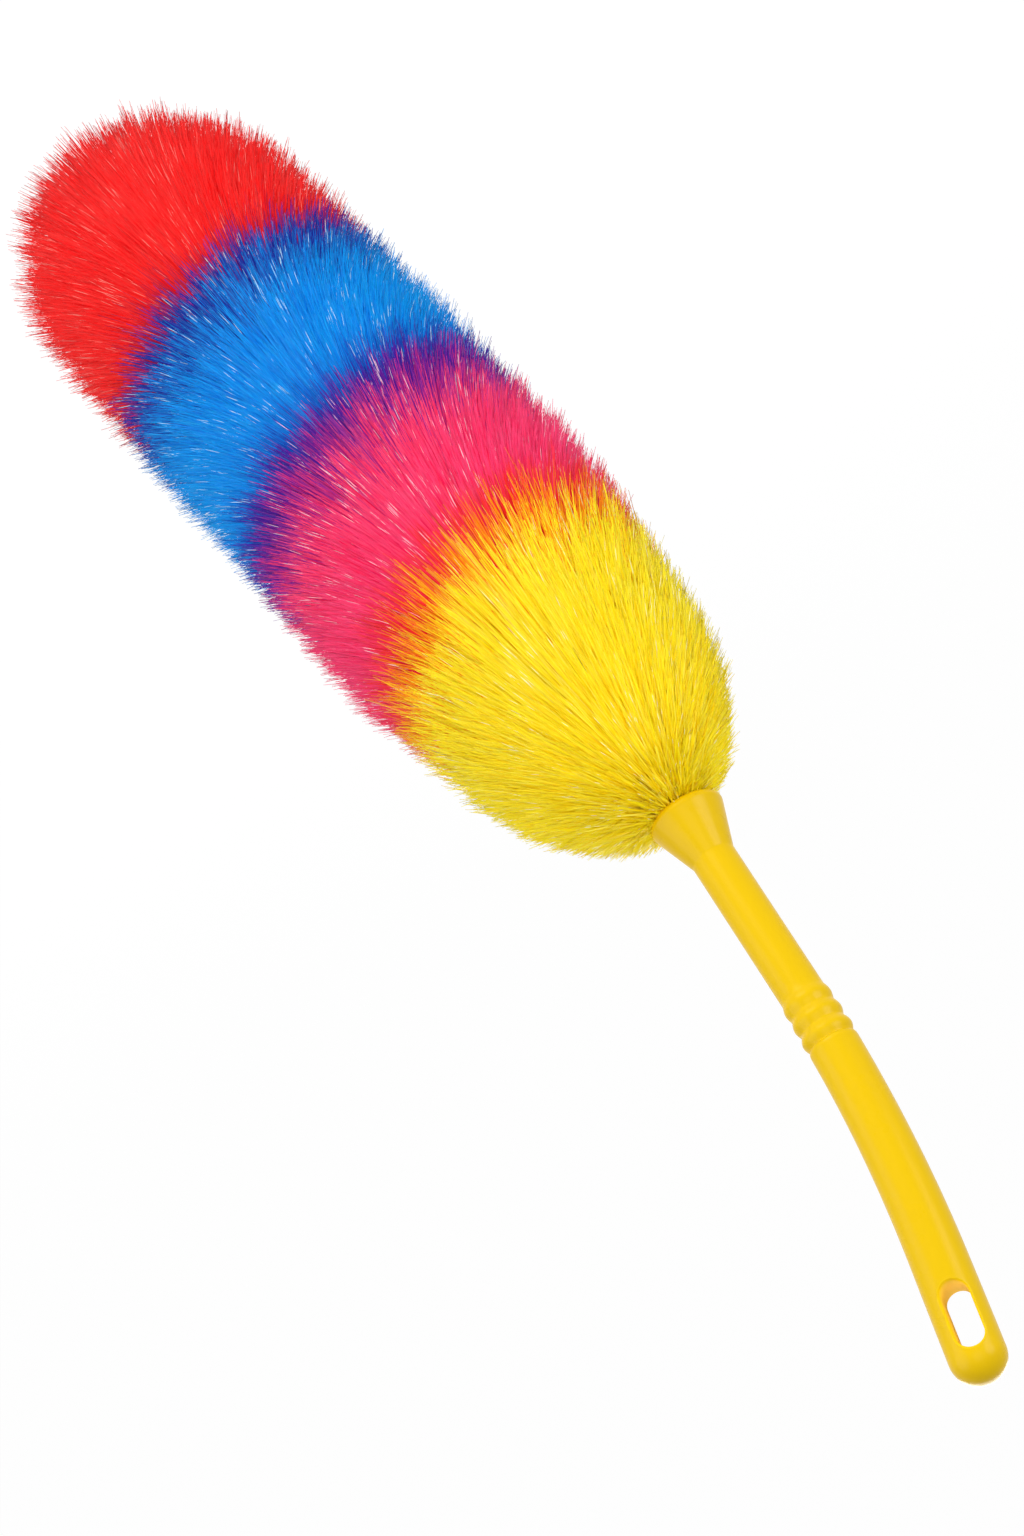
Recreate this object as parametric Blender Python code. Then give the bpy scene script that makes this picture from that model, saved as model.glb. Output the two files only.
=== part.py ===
# Feather duster with soft plastic fibres, as it hangs from a hook.
#
# Metres, +Z up. The origin is where the hook bears: the middle of the slot's upper end.
# The handle's grip curves in the XZ plane, and the hang slot runs through it along Y.
# The head hangs below the handle, on a twisted pair of wires set in the handle's neck.

import math
import random

import bmesh
import bpy
from mathutils import Vector

MM = 0.001

# Between pieces that touch
CLEARANCE = 0.3 * MM

# Handle, measured along its centreline from the slot's upper end towards the head
GRIP_LEAN_DEGREES = 10.8
GRIP_BEND_RADIUS = 620 * MM
GRIP_STRAIGHT_LENGTH = 35.7 * MM
GRIP_LENGTH = 127.2 * MM
GRIP_END_LENGTH = 12.4 * MM
GRIP_END_RADIUS = 10.8 * MM
GRIP_NECK_RADIUS = 10.0 * MM
GRIP_SHOULDER_LENGTH = 2.2 * MM
RING_COUNT = 3
RING_PITCH = 7.3 * MM
RING_LARGE_RADIUS = 10.4 * MM
RING_SMALL_RADIUS = 9.9 * MM
RING_GROOVE_RADIUS = 9.2 * MM
NECK_RADIUS = 9.05 * MM
NECK_LENGTH = 67.7 * MM
CUP_LENGTH = 23.5 * MM
CUP_LIP_RADIUS = 15.75 * MM
CUP_LIP_ROUNDING = 3.0 * MM
CUP_LIP_WALL = 3.75 * MM
CUP_MOUTH_ROUNDING = 0.9 * MM
NECK_WALL = 2.35 * MM
BORE_END_WALL = 6.5 * MM
HANDLE_SIDES = 28
BORE_SIDES = 14
GRIP_END_STEPS = 7
GRIP_STEPS = 9
GRIP_SHOULDER_STEPS = 3
RING_STEPS = 5
LIP_STEPS = 6
MOUTH_STEPS = 2
BORE_STEPS = 9
BORE_END_STEPS = 3

# Hang slot
SLOT_LENGTH = 24.5 * MM
SLOT_WIDTH = 10.6 * MM
SLOT_OFFSET = 1.0 * MM
SLOT_RIM_WIDTH = 1.7 * MM
SLOT_RIM_DEPTH = 4.2 * MM
SLOT_RIM_MOST_SHARE = 0.4
SLOT_CUT_OVERRUN = 4.0 * MM
SLOT_ROUND_STEPS = 8
SLOT_RIM_STEPS = 3

# Stem: two wires twisted together, set in a plug, with a cap on the far end
HEAD_TILT_DEGREES = 8.65
STEM_BEND_RADIUS = 30 * MM
STEM_BEND_INSET = 6.0 * MM
WIRE_RADIUS = 1.1 * MM
WIRE_TWIST_PITCH = 24 * MM
WIRE_STEPS_PER_TURN = 8
WIRE_TAIL_LENGTH = 4.0 * MM
PLUG_LENGTH = 52 * MM
PLUG_INSET = 9.0 * MM
PLUG_RIB_LENGTH = 5.0 * MM
PLUG_RIB_HEIGHT = 0.6 * MM
PLUG_RIB_COUNT = 3
CAP_WALL = 1.7 * MM
CAP_LENGTH = 13 * MM
CAP_END_WALL = 3.0 * MM
CAP_SIDES = 15
CAP_STEPS = 4

# Head, measured along the stem from the cup's mouth. A section's length is that of the
# band of the head's surface that its fibre tips cover.
YELLOW_LENGTH = 120 * MM
PINK_LENGTH = 106 * MM
BLUE_LENGTH = 96 * MM
RED_LENGTH = 124 * MM
HEAD_RADIUS = 70 * MM
HEAD_BASE_LENGTH = 140 * MM
HEAD_BASE_RADIUS = 13 * MM
HEAD_DOME_LENGTH = 86 * MM
HEAD_ROOT_INSET = 74 * MM
HEAD_BASE_POWER = 1.8
ROOT_SEARCH_STEPS = 40
BACKING_MOUTH_GAP = 1.6 * MM
BACKING_START_INSET = 2.6 * MM

# Fibres. They lean towards the tip: the root of each lies nearer to the cup than its tip.
COLUMN_COUNT = 15
FIBRE_SWEEP = 60 * MM
FIBRE_SWEEP_POWER = 2.15
FIBRE_WIDTH = 8.0 * MM
FIBRE_THICKNESS = 5.0 * MM
FIBRE_BOW_SHARE = 0.11
FIBRE_WIDEST_SHARE = 0.66
FIBRE_WEDGE_SHARE = 0.8
FIBRE_SLIM_SHARE = 0.15
FIBRE_LENGTH_SPREAD_SHARE = 0.07
FIBRE_ROOT_SHARE = 0.32
FIBRE_SEED = 11

# Rows of fibres in each section
YELLOW_ROW_COUNT = 8
PINK_ROW_COUNT = 8
BLUE_ROW_COUNT = 7
RED_ROW_COUNT = 10

# Colours and finishes
FIBRE_YELLOW = (0.95, 0.76, 0.02)
FIBRE_PINK = (0.92, 0.06, 0.16)
FIBRE_BLUE = (0.01, 0.28, 0.82)
FIBRE_RED = (0.85, 0.01, 0.015)
HANDLE_YELLOW = (0.92, 0.60, 0.006)
PLUG_WHITE = (0.80, 0.80, 0.77)
STEEL_GREY = (0.55, 0.56, 0.58)
HANDLE_ROUGHNESS = 0.36
PLUG_ROUGHNESS = 0.5
STEEL_ROUGHNESS = 0.35
FIBRE_ROUGHNESS = 0.45
SMOOTH_DEGREES = 40

# Sections from the cup to the tip: name, colour, rows of fibres and length
SECTIONS = (
    ("fibres_yellow", FIBRE_YELLOW, YELLOW_ROW_COUNT, YELLOW_LENGTH),
    ("fibres_pink", FIBRE_PINK, PINK_ROW_COUNT, PINK_LENGTH),
    ("fibres_blue", FIBRE_BLUE, BLUE_ROW_COUNT, BLUE_LENGTH),
    ("fibres_red", FIBRE_RED, RED_ROW_COUNT, RED_LENGTH),
)

# Places along the handle, from the slot's upper end
grip_lean = math.radians(GRIP_LEAN_DEGREES)
bend_end = GRIP_STRAIGHT_LENGTH + GRIP_BEND_RADIUS * grip_lean
rings_end = GRIP_LENGTH + RING_COUNT * RING_PITCH
cup_start = rings_end + NECK_LENGTH
lip_place = cup_start + CUP_LENGTH
bore_radius = NECK_RADIUS - NECK_WALL
mouth_radius = CUP_LIP_RADIUS - CUP_LIP_WALL

# Places along the stem, from the cup's mouth. The stem leans where it leaves the cup.
head_tilt = math.radians(HEAD_TILT_DEGREES)
bend_reach = STEM_BEND_RADIUS * math.tan(head_tilt / 2)
mouth_shift = STEM_BEND_INSET * math.tan(head_tilt)
backing_radius = mouth_radius - mouth_shift - BACKING_MOUTH_GAP
root_start = CUP_LIP_RADIUS * math.sin(head_tilt) + 2 * CLEARANCE
head_length = sum(section[-1] for section in SECTIONS)
backing_end = head_length - HEAD_ROOT_INSET
dome_start = head_length - HEAD_DOME_LENGTH
base_root_end = HEAD_BASE_LENGTH - FIBRE_SWEEP
dome_root_start = dome_start - FIBRE_SWEEP

# The wires stand off the stem's line by enough to clear each other where their steps
# cut across the helix
step_half_turn = math.pi / WIRE_STEPS_PER_TURN
wire_offset = (WIRE_RADIUS + CLEARANCE / 2) / math.cos(step_half_turn)
wire_reach = wire_offset + WIRE_RADIUS
stem_bore_radius = (wire_reach + CLEARANCE) / math.cos(math.pi / COLUMN_COUNT)
cap_radius = stem_bore_radius + CAP_WALL

# The rounding of the slot's rim leaves most of the wall beside the slot
slot_wall = GRIP_END_RADIUS - SLOT_OFFSET - SLOT_WIDTH / 2
rim_width = min(SLOT_RIM_WIDTH, slot_wall * SLOT_RIM_MOST_SHARE)


def clear_scene():
    for obj in list(bpy.data.objects):
        bpy.data.objects.remove(obj, do_unlink=True)


def make_material(name, colour, roughness, metallic=0.0):
    material = bpy.data.materials.new(name)
    material.use_nodes = True
    shader = material.node_tree.nodes["Principled BSDF"]
    shader.inputs["Base Color"].default_value = (*colour, 1.0)
    shader.inputs["Roughness"].default_value = roughness
    shader.inputs["Metallic"].default_value = metallic
    return material


def add_object(name, data, material=None):
    obj = bpy.data.objects.new(name, data)
    bpy.context.scene.collection.objects.link(obj)
    if material:
        data.materials.append(material)
    return obj


def mesh_from(bm, name):
    mesh = bpy.data.meshes.new(name)
    bm.to_mesh(mesh)
    bm.free()
    mesh.shade_smooth()
    mesh.set_sharp_from_angle(angle=math.radians(SMOOTH_DEGREES))
    return mesh


def ease(value):
    # smooth step from 0 to 1
    value = min(max(value, 0.0), 1.0)
    return value * value * (3 - 2 * value)


class Frame:
    # A place on a centreline in the XZ plane: its point, its direction towards the tip
    # of the head, and the side direction square to it
    def __init__(self, point, angle):
        self.point = point
        self.along = Vector((math.sin(angle), 0, -math.cos(angle)))
        self.side = Vector((math.cos(angle), 0, math.sin(angle)))

    def at(self, radius, turn):
        across = self.side * math.cos(turn) + Vector((0, math.sin(turn), 0))
        return self.point + across * radius


def handle_frame(place):
    # the grip leans by its full angle at the slot, and the neck hangs straight down
    start = Frame(Vector(), -grip_lean)
    line_start = start.side * SLOT_OFFSET
    if place <= GRIP_STRAIGHT_LENGTH:
        return Frame(line_start + start.along * place, -grip_lean)
    bend_start = line_start + start.along * GRIP_STRAIGHT_LENGTH
    turned = min(place, bend_end) - GRIP_STRAIGHT_LENGTH
    angle = turned / GRIP_BEND_RADIUS - grip_lean
    centre = bend_start + start.side * GRIP_BEND_RADIUS
    point = centre - Frame(centre, angle).side * GRIP_BEND_RADIUS
    point.z -= max(place - bend_end, 0.0)
    return Frame(point, angle)


lip_point = handle_frame(lip_place).point


def stem_frame(place):
    # straight in the neck, a short bend inside the cup, then straight along the head
    corner = lip_point + Vector((0, 0, STEM_BEND_INSET))
    past_corner = place + STEM_BEND_INSET
    if past_corner <= -bend_reach:
        return Frame(corner + Vector((0, 0, -past_corner)), 0.0)
    if past_corner >= bend_reach:
        return Frame(corner + Frame(corner, head_tilt).along * past_corner, head_tilt)
    angle = head_tilt * (past_corner + bend_reach) / (2 * bend_reach)
    centre = corner + Vector((STEM_BEND_RADIUS, 0, bend_reach))
    return Frame(centre - Frame(centre, angle).side * STEM_BEND_RADIUS, angle)


def add_ring(bm, frame, radius, sides, phase=0.0):
    turns = [2 * math.pi * (index + phase) / sides for index in range(sides)]
    return [bm.verts.new(frame.at(radius, turn)) for turn in turns]


def join_rings(bm, ring, other):
    count = len(ring)
    faces = []
    for index in range(count):
        after = (index + 1) % count
        faces.append(bm.faces.new((ring[index], ring[after], other[after], other[index])))
    return faces


def join_pole(bm, ring, pole):
    count = len(ring)
    for index in range(count):
        bm.faces.new((ring[index], ring[(index + 1) % count], pole))


def outward(bm):
    bmesh.ops.recalc_face_normals(bm, faces=bm.faces)


def turned_body(frame_at, profile, sides):
    # Turns a profile of (place, radius) points round a centreline. A profile that starts
    # and ends on the line is closed by poles; any other is a loop that closes on itself.
    bm = bmesh.new()
    with_poles = profile[0][1] == 0
    points = profile[1:-1] if with_poles else profile
    rings = [add_ring(bm, frame_at(place), radius, sides) for place, radius in points]
    for ring, other in zip(rings, rings[1:]):
        join_rings(bm, ring, other)
    if with_poles:
        join_pole(bm, rings[0], bm.verts.new(frame_at(profile[0][0]).point))
        join_pole(bm, rings[-1], bm.verts.new(frame_at(profile[-1][0]).point))
    else:
        join_rings(bm, rings[-1], rings[0])
    outward(bm)
    return bm


def arc_points(centre_place, centre_radius, radius, start_degrees, end_degrees, steps):
    # 0 degrees points out from the centreline, 90 degrees towards the tip of the head
    points = []
    for step in range(steps + 1):
        angle = math.radians(start_degrees + (end_degrees - start_degrees) * step / steps)
        place = centre_place + radius * math.sin(angle)
        points.append((place, centre_radius + radius * math.cos(angle)))
    return points


def grip_profile():
    end_centre = GRIP_END_RADIUS - GRIP_END_LENGTH
    points = arc_points(end_centre, 0, GRIP_END_RADIUS, -90, 0, GRIP_END_STEPS)
    points[0] = (points[0][0], 0)
    shoulder_start = GRIP_LENGTH - GRIP_SHOULDER_LENGTH
    for step in range(1, GRIP_STEPS + 1):
        share = step / GRIP_STEPS
        radius = GRIP_END_RADIUS + (GRIP_NECK_RADIUS - GRIP_END_RADIUS) * ease(share)
        points.append((end_centre + (shoulder_start - end_centre) * share, radius))
    drop = GRIP_NECK_RADIUS - RING_GROOVE_RADIUS
    for step in range(1, GRIP_SHOULDER_STEPS):
        angle = math.pi / 2 * step / GRIP_SHOULDER_STEPS
        place = shoulder_start + GRIP_SHOULDER_LENGTH * math.sin(angle)
        points.append((place, RING_GROOVE_RADIUS + drop * math.cos(angle)))
    return points


def ring_profile():
    # round crests between sharp grooves, each ring a little smaller than the last
    points = [(GRIP_LENGTH, RING_GROOVE_RADIUS)]
    for ring in range(RING_COUNT):
        share = ring / max(RING_COUNT - 1, 1)
        crest = RING_LARGE_RADIUS + (RING_SMALL_RADIUS - RING_LARGE_RADIUS) * share
        foot_radius = RING_GROOVE_RADIUS
        next_radius = NECK_RADIUS if ring == RING_COUNT - 1 else RING_GROOVE_RADIUS
        for step in range(1, RING_STEPS + 1):
            share = step / RING_STEPS
            foot = foot_radius + (next_radius - foot_radius) * share
            radius = foot + (crest - foot) * math.sin(math.pi * share)
            points.append((GRIP_LENGTH + (ring + share) * RING_PITCH, radius))
    return points


def cup_profile():
    # a straight flare whose lip rolls over a large rounding into the mouth
    centre_radius = CUP_LIP_RADIUS - CUP_LIP_ROUNDING
    centre_place = lip_place - CUP_LIP_ROUNDING
    rise = centre_radius - NECK_RADIUS
    run = centre_place - cup_start
    slope = math.atan2(rise, run) + math.asin(CUP_LIP_ROUNDING / math.hypot(rise, run))
    points = [(cup_start, NECK_RADIUS)]
    points += arc_points(centre_place, centre_radius, CUP_LIP_ROUNDING,
                         -math.degrees(slope), 90, LIP_STEPS)
    mouth_centre = lip_place - CUP_MOUTH_ROUNDING
    rounding_radius = mouth_radius + CUP_MOUTH_ROUNDING
    points += arc_points(mouth_centre, rounding_radius, CUP_MOUTH_ROUNDING,
                         90, 180, MOUTH_STEPS)[1:]
    return points


def cup_inner_radius(place):
    # the cup's inside narrows from its mouth to the neck's bore
    share = (lip_place - CUP_MOUTH_ROUNDING - place) / (CUP_LENGTH - CUP_MOUTH_ROUNDING)
    return mouth_radius + (bore_radius - mouth_radius) * min(share, 1.0)


def bore_profile():
    # from the cup's throat up to a round end, short of the slot
    end_centre = SLOT_LENGTH + BORE_END_WALL + bore_radius
    points = [(cup_start, bore_radius)]
    for step in range(1, BORE_STEPS + 1):
        share = step / BORE_STEPS
        points.append((cup_start + (end_centre - cup_start) * share, bore_radius))
    points += arc_points(end_centre, 0, bore_radius, 0, -90, BORE_END_STEPS)[1:]
    points[-1] = (points[-1][0], 0)
    return points


def slot_outline(widening):
    # corner to corner round the slot, as (along the slot, across it)
    radius = SLOT_WIDTH / 2
    outline = []
    for centre, start in ((radius, math.pi), (SLOT_LENGTH - radius, 0.0)):
        for step in range(SLOT_ROUND_STEPS + 1):
            angle = start - math.pi / 2 + math.pi * step / SLOT_ROUND_STEPS
            reach = radius + widening
            outline.append((centre + reach * math.cos(angle), reach * math.sin(angle)))
    return outline


def add_slot_cutter():
    # The cutter flares near each surface of the grip, so that the slot's rim is rounded.
    # Each point of its outline flares at the depth of the surface above that point.
    bm = bmesh.new()
    frame = Frame(Vector(), -grip_lean)
    plain = slot_outline(0.0)
    stations = []
    for step in range(SLOT_RIM_STEPS + 1):
        angle = math.pi / 2 * step / SLOT_RIM_STEPS
        widening = rim_width * (1 - math.cos(angle))
        stations.append((widening, SLOT_RIM_DEPTH * (1 - math.sin(angle))))
    stations.append((rim_width, -SLOT_CUT_OVERRUN))
    rings = []
    for sign, ordered in ((-1, reversed(stations)), (1, stations)):
        for widening, depth in ordered:
            ring = []
            for (along, across), (_, plain_across) in zip(slot_outline(widening), plain):
                from_line = abs(plain_across - SLOT_OFFSET) + widening
                surface = math.sqrt(GRIP_END_RADIUS ** 2 - from_line ** 2)
                point = frame.along * along + frame.side * across
                point.y = sign * (surface - depth)
                ring.append(bm.verts.new(point))
            rings.append(ring)
    for ring, other in zip(rings, rings[1:]):
        join_rings(bm, ring, other)
    bm.faces.new(rings[0])
    bm.faces.new(rings[-1])
    outward(bm)
    cutter = add_object("slot_cutter", mesh_from(bm, "slot_cutter"))
    cutter.hide_render = True
    cutter.display_type = "WIRE"
    return cutter


def add_handle(material):
    # outside and bore are turned apart, because the bore needs fewer sides
    bm = bmesh.new()
    outer = grip_profile() + ring_profile() + cup_profile()
    outer_rings = [add_ring(bm, handle_frame(place), radius, HANDLE_SIDES)
                   for place, radius in outer[1:]]
    for ring, other in zip(outer_rings, outer_rings[1:]):
        join_rings(bm, ring, other)
    join_pole(bm, outer_rings[0], bm.verts.new(handle_frame(outer[0][0]).point))
    bore = bore_profile()
    bore_rings = [add_ring(bm, handle_frame(place), radius, BORE_SIDES)
                  for place, radius in bore[:-1]]
    for ring, other in zip(bore_rings, bore_rings[1:]):
        join_rings(bm, ring, other)
    join_pole(bm, bore_rings[-1], bm.verts.new(handle_frame(bore[-1][0]).point))
    mouth = outer_rings[-1]
    throat = bore_rings[0]
    ratio = HANDLE_SIDES // BORE_SIDES
    for index in range(BORE_SIDES):
        wide = [mouth[(index * ratio + step) % HANDLE_SIDES] for step in range(ratio + 1)]
        bm.faces.new(wide + [throat[(index + 1) % BORE_SIDES], throat[index]])
    bmesh.ops.triangulate(bm, faces=[face for face in bm.faces if len(face.verts) > 4])
    outward(bm)
    handle = add_object("handle", mesh_from(bm, "handle"), material)
    cut = handle.modifiers.new("hang_slot", "BOOLEAN")
    cut.operation = "DIFFERENCE"
    cut.solver = "EXACT"
    cut.object = add_slot_cutter()
    return handle


def add_plug(material):
    # a bar with low grip ribs in the neck, whose flared head seats in the cup
    head_place = lip_place - PLUG_INSET
    top_place = head_place - PLUG_LENGTH
    bar_radius = bore_radius - CLEARANCE - PLUG_RIB_HEIGHT
    rib_radius = bore_radius - CLEARANCE
    profile = [(top_place, stem_bore_radius), (top_place, bar_radius)]
    spacing = (cup_start - top_place) / (PLUG_RIB_COUNT + 1)
    for rib in range(1, PLUG_RIB_COUNT + 1):
        start = top_place + spacing * rib - PLUG_RIB_LENGTH
        ramp = start + PLUG_RIB_LENGTH - PLUG_RIB_HEIGHT
        profile += [(start, bar_radius), (start + PLUG_RIB_HEIGHT, rib_radius)]
        profile += [(ramp, rib_radius), (ramp + PLUG_RIB_HEIGHT, bar_radius)]
    profile += [(cup_start, bar_radius)]
    profile += [(cup_start + PLUG_RIB_HEIGHT, rib_radius)]
    profile += [(head_place, cup_inner_radius(head_place) - CLEARANCE)]
    profile += [(head_place, stem_bore_radius)]
    bm = turned_body(handle_frame, profile, BORE_SIDES)
    return add_object("stem_plug", mesh_from(bm, "stem_plug"), material)


def add_wire(name, phase, material):
    # one wire of the pair: a helix about the stem's line, as a bevelled curve
    start = -PLUG_INSET - PLUG_LENGTH - WIRE_TAIL_LENGTH
    end = backing_end + CAP_LENGTH - CAP_END_WALL
    step_length = WIRE_TWIST_PITCH / WIRE_STEPS_PER_TURN
    count = math.ceil((end - start) / step_length)
    curve = bpy.data.curves.new(name, "CURVE")
    curve.dimensions = "3D"
    curve.bevel_depth = WIRE_RADIUS
    curve.bevel_resolution = 1
    curve.use_fill_caps = True
    spline = curve.splines.new("POLY")
    spline.points.add(count)
    for index, point in enumerate(spline.points):
        place = start + (end - start) * index / count
        turn = 2 * math.pi * (place / WIRE_TWIST_PITCH + phase)
        point.co = (*stem_frame(place).at(wire_offset, turn), 1.0)
    return add_object(name, curve, material)


def add_cap(material):
    start = backing_end + CLEARANCE
    dome_centre = start + CAP_LENGTH - cap_radius
    profile = arc_points(dome_centre, 0, cap_radius, 90, 0, CAP_STEPS)
    profile[0] = (profile[0][0], 0)
    bore_end = start + CAP_LENGTH - CAP_END_WALL
    profile += [(start, cap_radius), (start, stem_bore_radius), (bore_end, stem_bore_radius)]
    profile += [(bore_end, 0)]
    bm = turned_body(stem_frame, profile, CAP_SIDES)
    return add_object("tip_cap", mesh_from(bm, "tip_cap"), material)


def tip_of(root):
    # Where the tip of the fibre rooted at this place lies, as (along the head, radius).
    # The tips lie on the head's outline: a swelling base, a straight middle and a dome.
    if root > dome_root_start:
        share = (root - dome_root_start) / (backing_end - dome_root_start)
        angle = math.pi / 2 * (1 - share)
        return dome_start + HEAD_DOME_LENGTH * math.cos(angle), HEAD_RADIUS * math.sin(angle)
    if root > base_root_end:
        return root + FIBRE_SWEEP, HEAD_RADIUS
    from_end = (base_root_end - root) / (base_root_end - root_start)
    tip = root + FIBRE_SWEEP * (1 - from_end ** FIBRE_SWEEP_POWER)
    fall = (1 - tip / HEAD_BASE_LENGTH) ** HEAD_BASE_POWER
    rise = (1 - fall) ** (1 / HEAD_BASE_POWER)
    return tip, HEAD_BASE_RADIUS + (HEAD_RADIUS - HEAD_BASE_RADIUS) * rise


def root_of(tip_place):
    # the root whose fibre ends at this place along the head, found by halving
    low, high = root_start, backing_end
    for _ in range(ROOT_SEARCH_STEPS):
        middle = (low + high) / 2
        if tip_of(middle)[0] < tip_place:
            low = middle
        else:
            high = middle
    return low


def add_fibre(bm, base, turn, root, chance):
    # One fibre grows from a face of the backing: four sides, widest past the middle,
    # pointed at the tip, and bowed a little because it stands out before it leans.
    frame = stem_frame(root)
    across = frame.at(1, turn) - frame.point
    around = across.cross(frame.along)
    tip_along, tip_radius = tip_of(root)
    start = Vector((0, backing_radius * math.cos(math.pi / COLUMN_COUNT)))
    reach = Vector((tip_along - root, tip_radius)) - start
    reach *= 1 + FIBRE_LENGTH_SPREAD_SHARE * chance.uniform(-1, 1)
    square = Vector((-reach.y, reach.x))
    bow = 4 * FIBRE_WIDEST_SHARE * (1 - FIBRE_WIDEST_SHARE) * FIBRE_BOW_SHARE
    middle = start + reach * FIBRE_WIDEST_SHARE + square * bow
    wedge = 2 * middle.y * math.tan(math.pi / COLUMN_COUNT) * FIBRE_WEDGE_SHARE
    half_width = min(FIBRE_WIDTH, wedge, reach.length * FIBRE_SLIM_SHARE) / 2
    half_thickness = half_width * FIBRE_THICKNESS / FIBRE_WIDTH
    lean = square.normalized() * half_thickness
    corners = ((lean, -half_width), (lean, half_width), (-lean, half_width), (-lean, -half_width))
    ring = []
    for shift, sideways in corners:
        flat = middle + shift
        point = frame.point + frame.along * flat.x + across * flat.y + around * sideways
        ring.append(bm.verts.new(point))
    end = start + reach
    tip = bm.verts.new(frame.point + frame.along * end.x + across * end.y)
    join_rings(bm, base, ring)
    join_pole(bm, ring, tip)


def join_turned_rings(bm, ring, phase, other, other_phase):
    # where one ring is turned by half a side, triangles join the two
    if phase == other_phase:
        join_rings(bm, ring, other)
        return
    if phase > other_phase:
        ring, other = other, ring
    count = len(ring)
    for index in range(count):
        after = (index + 1) % count
        bm.faces.new((ring[index], ring[after], other[index]))
        bm.faces.new((ring[after], other[after], other[index]))


def add_fibres(name, start, rows_start, end, rows, first_row, material, chance):
    # A slice of backing round the wires. Rows of fibres grow from it, every other row
    # of the whole head turned by half a side.
    bm = bmesh.new()
    pitch = (end - rows_start) / rows
    half_root = pitch * FIBRE_ROOT_SHARE / 2
    outer_start = add_ring(bm, stem_frame(start), backing_radius, COLUMN_COUNT)
    last = outer_start
    last_phase = 0
    for row in range(rows):
        root = rows_start + pitch * (row + FIBRE_ROOT_SHARE)
        phase = (first_row + row) % 2 / 2
        low = add_ring(bm, stem_frame(root - half_root), backing_radius, COLUMN_COUNT, phase)
        high = add_ring(bm, stem_frame(root + half_root), backing_radius, COLUMN_COUNT, phase)
        join_turned_rings(bm, last, last_phase, low, phase)
        for index in range(COLUMN_COUNT):
            after = (index + 1) % COLUMN_COUNT
            turn = 2 * math.pi * (index + phase + 1 / 2) / COLUMN_COUNT
            base = (low[index], low[after], high[after], high[index])
            add_fibre(bm, base, turn, root, chance)
        last = high
        last_phase = phase
    outer_end = add_ring(bm, stem_frame(end), backing_radius, COLUMN_COUNT)
    inner_end = add_ring(bm, stem_frame(end), stem_bore_radius, COLUMN_COUNT)
    inner_start = add_ring(bm, stem_frame(start), stem_bore_radius, COLUMN_COUNT)
    join_turned_rings(bm, last, last_phase, outer_end, 0)
    join_rings(bm, outer_end, inner_end)
    join_rings(bm, inner_end, inner_start)
    join_rings(bm, inner_start, outer_start)
    outward(bm)
    return add_object(name, mesh_from(bm, name), material)


def add_head():
    chance = random.Random(FIBRE_SEED)
    start = -BACKING_START_INSET
    last_tip = 0
    first_row = 0
    for name, colour, rows, length in SECTIONS:
        last_tip += length
        end = backing_end if name == SECTIONS[-1][0] else root_of(last_tip)
        rows_start = max(start, root_start)
        material = make_material(name, colour, FIBRE_ROUGHNESS)
        add_fibres(name, start, rows_start, end, rows, first_row, material, chance)
        start = end + CLEARANCE
        first_row += rows


def build():
    clear_scene()
    steel = make_material("wire_steel", STEEL_GREY, STEEL_ROUGHNESS, 1.0)
    white = make_material("plug_plastic", PLUG_WHITE, PLUG_ROUGHNESS)
    add_handle(make_material("handle_plastic", HANDLE_YELLOW, HANDLE_ROUGHNESS))
    add_plug(white)
    add_wire("stem_wire_a", 0.0, steel)
    add_wire("stem_wire_b", 0.5, steel)
    add_cap(white)
    add_head()


build()
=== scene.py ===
import math

import bmesh
import bpy
import numpy as np
from mathutils import Matrix, Vector


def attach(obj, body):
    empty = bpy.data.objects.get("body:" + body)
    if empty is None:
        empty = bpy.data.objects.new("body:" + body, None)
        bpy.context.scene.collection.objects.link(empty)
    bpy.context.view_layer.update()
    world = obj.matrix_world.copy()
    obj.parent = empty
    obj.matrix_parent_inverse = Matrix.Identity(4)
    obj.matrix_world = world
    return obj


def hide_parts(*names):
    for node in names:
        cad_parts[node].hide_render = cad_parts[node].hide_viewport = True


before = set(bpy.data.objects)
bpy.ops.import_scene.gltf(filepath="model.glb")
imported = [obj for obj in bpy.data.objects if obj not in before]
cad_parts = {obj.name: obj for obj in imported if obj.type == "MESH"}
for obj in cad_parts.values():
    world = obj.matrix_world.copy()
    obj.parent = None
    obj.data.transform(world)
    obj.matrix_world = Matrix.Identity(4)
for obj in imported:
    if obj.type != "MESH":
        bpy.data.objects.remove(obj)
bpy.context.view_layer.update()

mm = 0.001
scene = bpy.context.scene
scene.view_settings.view_transform = "Standard"


# Centrelines. The handle's runs from the slot's upper end to the cup's mouth, and the
# head's runs on from there at a small angle, both in the XZ plane.

gripLean = math.radians(10.8)
gripStraight = 35.7 * mm
gripBendRadius = 620 * mm
slotOffset = 1.0 * mm
headTilt = math.radians(8.65)
headCornerInset = 6.0 * mm


def axesAt(angle):
    along = Vector((math.sin(angle), 0, -math.cos(angle)))
    side = Vector((math.cos(angle), 0, math.sin(angle)))
    return along, side


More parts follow.
